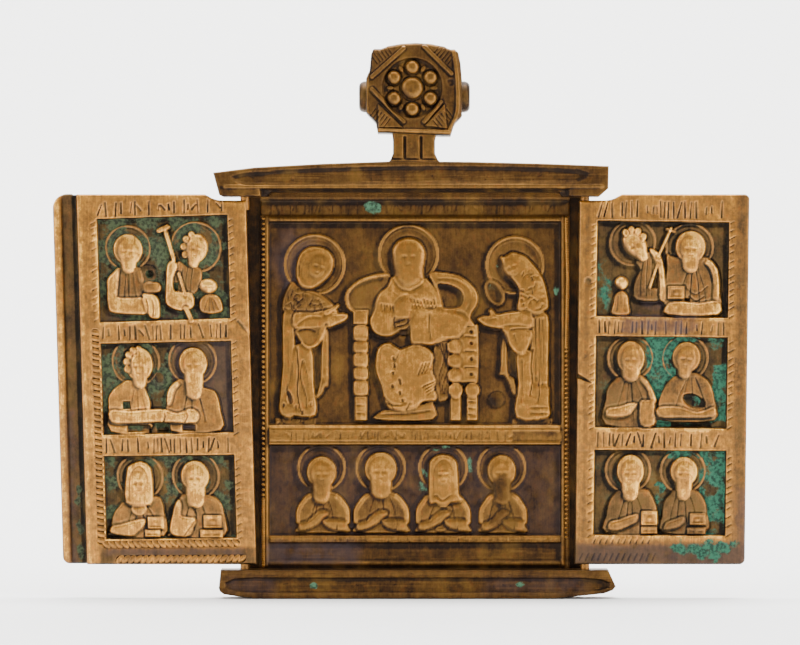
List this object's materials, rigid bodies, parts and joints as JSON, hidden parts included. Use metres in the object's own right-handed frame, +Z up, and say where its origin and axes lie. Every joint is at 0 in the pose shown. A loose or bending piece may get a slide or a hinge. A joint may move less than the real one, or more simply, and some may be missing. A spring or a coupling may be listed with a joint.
{
  "type": "folding icon triptych",
  "caption": "Cast brass folding icon: a relief leaf between a cornice and a sill, a bead finial above, and hinged relief wings that close over it",
  "frame": {"origin": "middle of the sill's underside, on the surface the icon stands on", "axes": "+Z up, +X to the right as seen from the front, the relief faces -Y"},
  "size_m": [0.1498, 0.009, 0.1191],
  "materials": {
    "leaf_brass": "olive-brown patina in the fields, worn golden on the relief",
    "left_wing_brass": "worn warm brass, dark and green patina in the sunk fields",
    "right_wing_brass": "worn warm brass, malachite green and brown patina in the sunk fields"
  },
  "bodies": {
    "leaf": {"centre_leaf": "leaf_brass"},
    "left_wing": {"left_wing": "left_wing_brass"},
    "right_wing": {"right_wing": "right_wing_brass"}
  },
  "joints": [
    {"name": "left_wing_hinge", "type": "hinge", "parent": "leaf", "child": "left_wing", "pos_m": [-0.0365, -0.0007, 0.047], "axis": [0, 0, 1], "range_deg": [0, 180]},
    {"name": "right_wing_hinge", "type": "hinge", "parent": "leaf", "child": "right_wing", "pos_m": [0.0365, -0.0007, 0.047], "axis": [0, 0, -1], "range_deg": [0, 180]}
  ]
}
